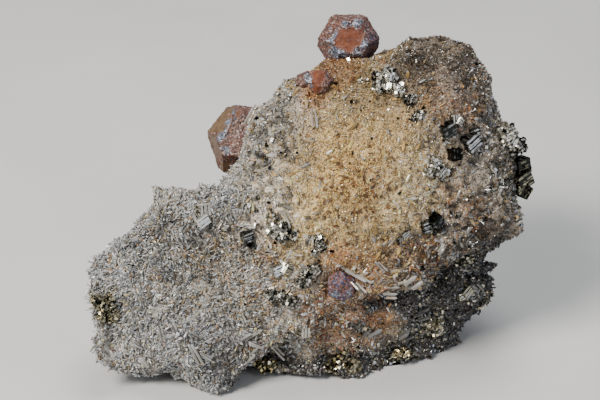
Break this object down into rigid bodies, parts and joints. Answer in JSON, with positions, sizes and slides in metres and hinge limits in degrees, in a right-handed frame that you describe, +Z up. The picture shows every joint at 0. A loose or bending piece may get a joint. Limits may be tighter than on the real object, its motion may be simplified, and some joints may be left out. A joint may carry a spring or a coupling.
{
  "type": "galena with pyrite mineral specimen",
  "caption": "Free-standing mineral specimen: galena and pyrite crystals on a leaning plate of drusy quartz, with a flat base to stand it on.",
  "frame": {"origin": "middle of the footprint's box, on the surface that the specimen stands on", "axes": "+X to the right as the display face is seen, +Y into the back of the specimen, +Z up; the display face looks along -Y and leans back by about 30 degrees"},
  "size_m": [0.1512, 0.0806, 0.1082],
  "materials": {
    "quartz_rock": "sugary quartz crust, sandy tan to grey, on rough dark rock",
    "galena": "dull lead-grey stained orange-brown, with a granular blue-grey skin",
    "pyrite": "pale brassy metal, finely striated, bright on some faces and dark on others"
  },
  "bodies": {
    "root": {"quartz_matrix": "quartz_rock", "galena_front": "galena", "galena_left": "galena", "galena_small_pair": "galena", "galena_top": "galena", "pyrite_black_cube": "pyrite", "pyrite_bright_pair": "pyrite", "pyrite_crescent": "pyrite", "pyrite_crumb_right": "pyrite", "pyrite_crumb_upper": "pyrite", "pyrite_dark_cluster": "pyrite", "pyrite_dark_twin": "pyrite", "pyrite_edge_bright": "pyrite", "pyrite_edge_column": "pyrite", "pyrite_edge_knob": "pyrite", "pyrite_foot_left": "pyrite", "pyrite_foot_middle": "pyrite", "pyrite_foot_right": "pyrite", "pyrite_glint_small": "pyrite", "pyrite_gold_cluster": "pyrite", "pyrite_green_group": "pyrite", "pyrite_grey_cube": "pyrite", "pyrite_ledge_group": "pyrite", "pyrite_left_pair": "pyrite", "pyrite_lobe_cluster": "pyrite", "pyrite_lower_group": "pyrite", "pyrite_rosette": "pyrite", "pyrite_silver_cluster": "pyrite", "pyrite_small_cube": "pyrite", "pyrite_striped_cube": "pyrite", "pyrite_striped_group": "pyrite", "pyrite_tip_crystal": "pyrite", "pyrite_white_flake": "pyrite"}
  },
  "joints": []
}
